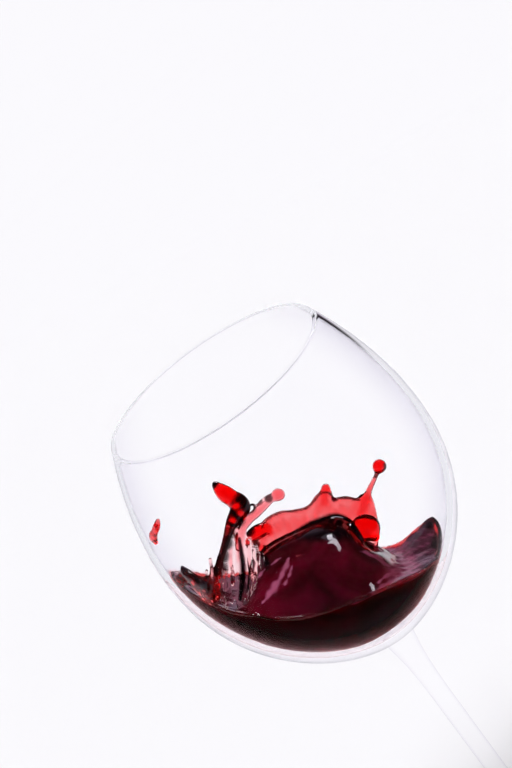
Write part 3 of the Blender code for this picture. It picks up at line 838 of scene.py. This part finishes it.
def deep_material():
    """Wine too deep to see through: burgundy with soft darker and lighter folds, painted mauve glints, a painted
    purple-grey reflection and a painted black shade band.
    """
    made, nodes, links, shader, _ = principled("wine_deep")
    place = nodes.new("ShaderNodeTexCoord")
    noise = nodes.new("ShaderNodeTexNoise")
    noise.inputs["Scale"].default_value = 70.0
    noise.inputs["Detail"].default_value = 2.0
    noise.inputs["Distortion"].default_value = 1.2
    ramp = nodes.new("ShaderNodeValToRGB")
    ramp.color_ramp.elements[0].position = 0.35
    ramp.color_ramp.elements[0].color = (0.035, 0.0008, 0.006, 1)
    ramp.color_ramp.elements[1].position = 0.65
    ramp.color_ramp.elements[1].color = (0.085, 0.003, 0.018, 1)
    links.new(place.outputs["Object"], noise.inputs["Vector"])
    links.new(noise.outputs["Fac"], ramp.inputs["Fac"])
    # the 'shade' attribute here carries painted light: painted glints and reflection tones above 0, painted black shade
    # below 0
    painted_light_node = nodes.new("ShaderNodeAttribute")
    painted_light_node.attribute_name = "shade"
    tones = nodes.new("ShaderNodeValToRGB")
    tones.color_ramp.elements[0].position = 0.0
    tones.color_ramp.elements[0].color = PAINTED_MAUVE_GLINT
    tones.color_ramp.elements[1].position = 1.0
    tones.color_ramp.elements[1].color = PAINTED_PURPLE_GREY_REFLECTION
    tones.color_ramp.elements.new(0.5).color = PAINTED_MAUVE_GLINT
    links.new(painted_light_node.outputs["Fac"], tones.inputs["Fac"])
    amount = nodes.new("ShaderNodeMapRange")
    amount.inputs["From Max"].default_value = 0.5
    links.new(painted_light_node.outputs["Fac"], amount.inputs["Value"])
    mix = nodes.new("ShaderNodeMix")
    mix.data_type = "RGBA"
    links.new(amount.outputs["Result"], mix.inputs[0])
    links.new(ramp.outputs["Color"], mix.inputs[6])
    links.new(tones.outputs["Color"], mix.inputs[7])
    # painted black shade where the attribute falls below 0
    light = nodes.new("ShaderNodeMapRange")
    light.inputs["From Min"].default_value = -0.9
    light.inputs["From Max"].default_value = 0.0
    links.new(painted_light_node.outputs["Fac"], light.inputs["Value"])
    black = nodes.new("ShaderNodeMix")
    black.data_type = "RGBA"
    black.inputs[6].default_value = (0.004, 0.0005, 0.0012, 1)
    links.new(light.outputs["Result"], black.inputs[0])
    links.new(mix.outputs[2], black.inputs[7])
    links.new(black.outputs[2], shader.inputs["Base Color"])
    shader.inputs["Roughness"].default_value = 1.0
    shader.inputs["Specular IOR Level"].default_value = 0.0
    return made


def floor_material():
    made, nodes, links, shader, _ = principled("pale_floor")
    shader.inputs["Base Color"].default_value = (0.88, 0.88, 0.90, 1)
    shader.inputs["Roughness"].default_value = 0.9
    shader.inputs["Specular IOR Level"].default_value = 0.0
    return made


def area(name, place, aim, along, size, power, colour):
    """A rectangular lamp whose long side lies along a direction."""
    light = bpy.data.lights.new(name, "AREA")
    light.shape = "RECTANGLE"
    light.size, light.size_y = size
    light.energy = power
    light.color = colour
    lamp = bpy.data.objects.new(name, light)
    bpy.context.scene.collection.objects.link(lamp)
    back = (place - aim).normalized()
    side = along.cross(back).normalized()
    turn = Matrix((side, back.cross(side), back)).transposed().to_4x4()
    lamp.matrix_world = Matrix.Translation(place) @ turn
    return lamp


def make_world():
    """A room that is pale low down and dark overhead, with a mauve window for the wave on the right to mirror."""
    world = bpy.data.worlds.new("studio")
    bpy.context.scene.world = world
    world.use_nodes = True
    nodes, links = world.node_tree.nodes, world.node_tree.links
    shade = next(n for n in nodes if n.type == "BACKGROUND")
    place = nodes.new("ShaderNodeTexCoord")
    split = nodes.new("ShaderNodeSeparateXYZ")
    links.new(place.outputs["Generated"], split.inputs["Vector"])
    # on the left the pale part of the room reaches higher up
    left = nodes.new("ShaderNodeMath")
    left.operation = "MINIMUM"
    left.inputs[1].default_value = 0.0
    links.new(split.outputs["X"], left.inputs[0])
    slant = nodes.new("ShaderNodeMath")
    slant.operation = "MULTIPLY_ADD"
    slant.inputs[1].default_value = 0.46
    links.new(left.outputs[0], slant.inputs[0])
    links.new(split.outputs["Z"], slant.inputs[2])
    share = nodes.new("ShaderNodeMapRange")
    share.inputs["From Min"].default_value = -1.0
    links.new(slant.outputs[0], share.inputs["Value"])
    pale, low, dark = (0.86, 0.86, 0.90, 1), (0.50, 0.36, 0.50, 1), (0.02, 0.014, 0.02, 1)
    ramps = []
    for stops in (((0.365, pale), (0.39, low), (0.60, low), (0.73, dark)), ((0.365, pale), (0.40, dark))):
        ramp = nodes.new("ShaderNodeValToRGB")
        tone = ramp.color_ramp
        tone.interpolation = "EASE"
        tone.elements[0].position, tone.elements[0].color = stops[0]
        tone.elements[1].position, tone.elements[1].color = stops[-1]
        for height, colour in stops[1:-1]:
            tone.elements.new(height).color = colour
        links.new(share.outputs["Result"], ramp.inputs["Fac"])
        ramps.append(ramp)
    side = nodes.new("ShaderNodeMapRange")
    side.inputs["From Min"].default_value = 0.0
    side.inputs["From Max"].default_value = 0.4
    links.new(split.outputs["X"], side.inputs["Value"])
    window = nodes.new("ShaderNodeValToRGB")
    window.color_ramp.elements[0].position, window.color_ramp.elements[0].color = 0.26, (0.75, 0.75, 0.75, 1)
    window.color_ramp.elements[1].position, window.color_ramp.elements[1].color = 0.78, (1, 1, 1, 1)
    window.color_ramp.elements.new(0.3).color = (0, 0, 0, 1)
    window.color_ramp.elements.new(0.55).color = (0, 0, 0, 1)
    links.new(side.outputs["Result"], window.inputs["Fac"])
    mix = nodes.new("ShaderNodeMix")
    mix.data_type = "RGBA"
    links.new(window.outputs["Color"], mix.inputs[0])
    links.new(ramps[0].outputs["Color"], mix.inputs[6])
    links.new(ramps[1].outputs["Color"], mix.inputs[7])
    links.new(mix.outputs[2], shade.inputs["Color"])


def make_stage():
    a = np.arange(96) * 2 * np.pi / 96
    points = np.stack([6 * np.cos(a), 6 * np.sin(a), np.full(96, -0.0002)], -1)
    floor = mesh_object("floor", points, [list(range(96))], smooth=False)
    floor.data.materials.append(floor_material())
    floor.visible_glossy = False
    make_world()
    sun = bpy.data.lights.new("overhead", "SUN")
    sun.energy = 3.4
    sun.angle = math.radians(40)
    lamp = bpy.data.objects.new("overhead", sun)
    bpy.context.scene.collection.objects.link(lamp)
    lamp.rotation_euler = (math.radians(8), math.radians(-12), 0)
    lamp.visible_glossy = False
    bowl = Vector((0, 0, 0.145))
    for name, way, along, size, power, colour in (
            ("streak_high", (0.365, 0.70, 0.61), (0.136, -0.285, 0.324), (0.03, 0.15), 1.6, (1, 1, 1)),
            ("streak_low", (0.515, 0.525, 0.675), (0.224, -0.178, -0.032), (0.09, 0.25), 18.0, (1, 1, 1)),
            ("streak_glow", (0.42, 0.64, 0.64), (0.36, -0.463, 0.25), (0.11, 0.42), 0.09, (0.9, 0.85, 1))):
        lamp = area(name, bowl + 0.8 * Vector(way), bowl, Vector(along), size, power, colour)
        lamp.visible_diffuse = False
    bpy.context.scene.view_settings.view_transform = "Standard"


def main():
    make_camera()
    make_stage()
    glass = turned("glass_fine", glass_profile(), 256)
    glass.data.materials.append(glass_material())
    glass.visible_glossy = False
    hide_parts("glass")
    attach(glass, "root")
    fine = 0.48
    pool = wine_piece("wine_pool", make_pool(0.7), "wine")
    pool.data.materials.append(wine_material("wine_pool", 1.0, (0, 0, 0), (0.92, 0.42, 0.46), 1700))
    # the deep wine carries painted glints, a painted reflection and painted shade
    dome = wine_piece("wine_dome", make_dome(0.5), "wine", painted_light_of)
    dome.data.materials.append(deep_material())
    splash_piece = wine_piece("wine_splash", make_splash(fine), "wine")
    splash_piece.data.materials.append(
        wine_material("wine_splash", 1.34, (0.9, 0.8, 1.0), (0.985, 0.02, 0.045), 1350, (0.74, 0.97)))
    veil = wine_piece("wine_curtain", make_curtain(0.3), "wine")
    veil.data.materials.append(
        wine_material("wine_curtain", 1.16, (0.6, 0.5, 0.6), (0.99, 0.08, 0.14), 620, (0.88, 1.0)))
    drop = wine_piece("wine_drop_fine", make_drop(0.25), "wine_drop")
    drop.data.materials.append(splash_piece.data.materials[0])


main()
